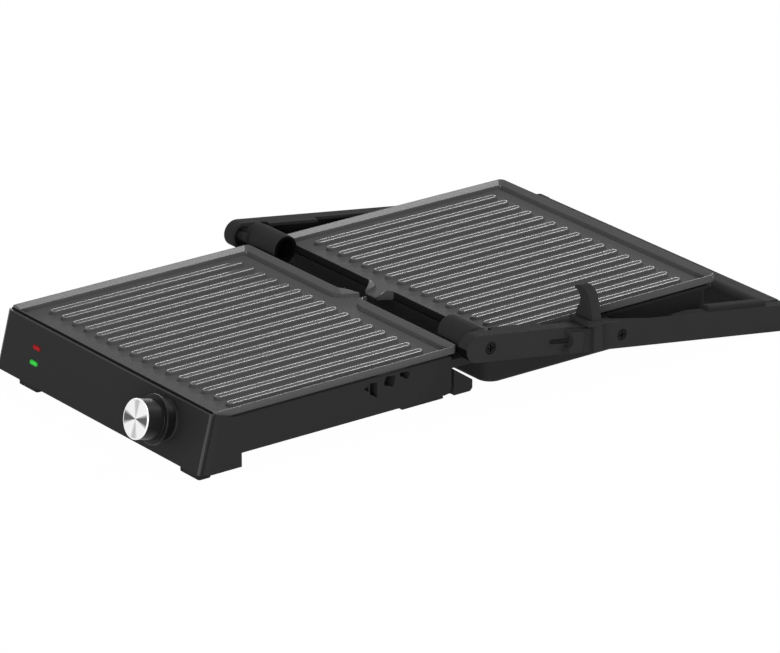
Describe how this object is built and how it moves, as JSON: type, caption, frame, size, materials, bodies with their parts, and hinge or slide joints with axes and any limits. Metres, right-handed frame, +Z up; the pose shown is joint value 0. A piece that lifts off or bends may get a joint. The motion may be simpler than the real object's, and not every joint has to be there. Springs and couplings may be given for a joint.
{
  "type": "contact grill",
  "caption": "Tabletop contact grill laid open flat: ribbed base plate and ribbed lid plate in a swinging U-arm, with turning knob, lamps, height lock and drip tray.",
  "frame": {"origin": "on the table, under the middle of the open grill", "axes": "+Z up, -Y towards the user and the knob, +Y towards the handle, +X to the right"},
  "size_m": [0.3433, 0.6134, 0.084],
  "materials": {
    "nonstick": "dark grey non-stick coating on cast aluminium, satin",
    "housing_plastic": "black heat-proof plastic, fine satin grain",
    "panel_plastic": "black satin plastic",
    "arm_plastic": "black satin plastic, slightly lighter",
    "knob_plastic": "black satin plastic",
    "knob_metal": "turned metal, radial brushing",
    "foot_rubber": "matt black rubber",
    "steel": "zinc-plated steel",
    "shield_metal": "plain pressed aluminium",
    "board": "green circuit board",
    "fitting_plastic": "pale heat-proof plastic",
    "red_lens": "clear red lamp lens",
    "green_lens": "clear green lamp lens"
  },
  "bodies": {
    "base": {"base_housing": "housing_plastic", "front_panel": "panel_plastic", "bottom_cover": "housing_plastic", "cover_screws": "steel", "lower_plate": "nonstick", "lower_plate_screws": "steel", "lower_heating_element": "steel", "lower_heat_shield": "shield_metal", "hinge_barrel_left": "housing_plastic", "hinge_barrel_right": "housing_plastic", "power_lens": "red_lens", "ready_lens": "green_lens", "lamp_board": "board", "knob_bezel": "panel_plastic", "thermostat": "fitting_plastic", "thermal_fuse": "steel", "terminal_block": "fitting_plastic", "cord_gland": "foot_rubber", "front_feet": "foot_rubber", "rear_feet": "foot_rubber"},
    "arms": {"arm_left": "arm_plastic", "arm_right": "arm_plastic", "handle_grip": "arm_plastic", "hinge_spindle_left": "steel", "hinge_spindle_right": "steel", "hinge_screws": "steel", "lid_pivot_pins": "steel"},
    "lid": {"lid_shell": "housing_plastic", "upper_plate": "nonstick", "upper_plate_screws": "steel", "upper_heating_element": "steel", "upper_heat_shield": "shield_metal"},
    "lock": {"lock_hook": "arm_plastic", "lock_screw": "steel", "lock_washer": "steel"},
    "knob": {"knob": "knob_plastic", "knob_cap": "knob_metal", "knob_shaft": "steel"},
    "tray": {"drip_tray": "housing_plastic"}
  },
  "joints": [
    {"name": "arm_hinge", "type": "hinge", "parent": "base", "child": "arms", "pos_m": [0, -0.00995, 0.0571], "axis": [1, 0, 0], "range_deg": [0, 180]},
    {"name": "lid_float", "type": "hinge", "parent": "arms", "child": "lid", "pos_m": [0, 0.12585, 0.03688], "axis": [1, 0, 0], "range_deg": [-0.8, 0.8]},
    {"name": "lock_slide", "type": "slide", "parent": "arms", "child": "lock", "axis": [0, -0.9891, 0.1473], "range_m": [0, 0.0285]},
    {"name": "knob_turn", "type": "hinge", "parent": "base", "child": "knob", "pos_m": [0.09, -0.27241, 0.034], "axis": [0, -0.9659, 0.2588], "range_deg": [-270, 0]},
    {"name": "tray_slide", "type": "slide", "parent": "base", "child": "tray", "axis": [1, 0, 0], "range_m": [0, 0.15]}
  ]
}
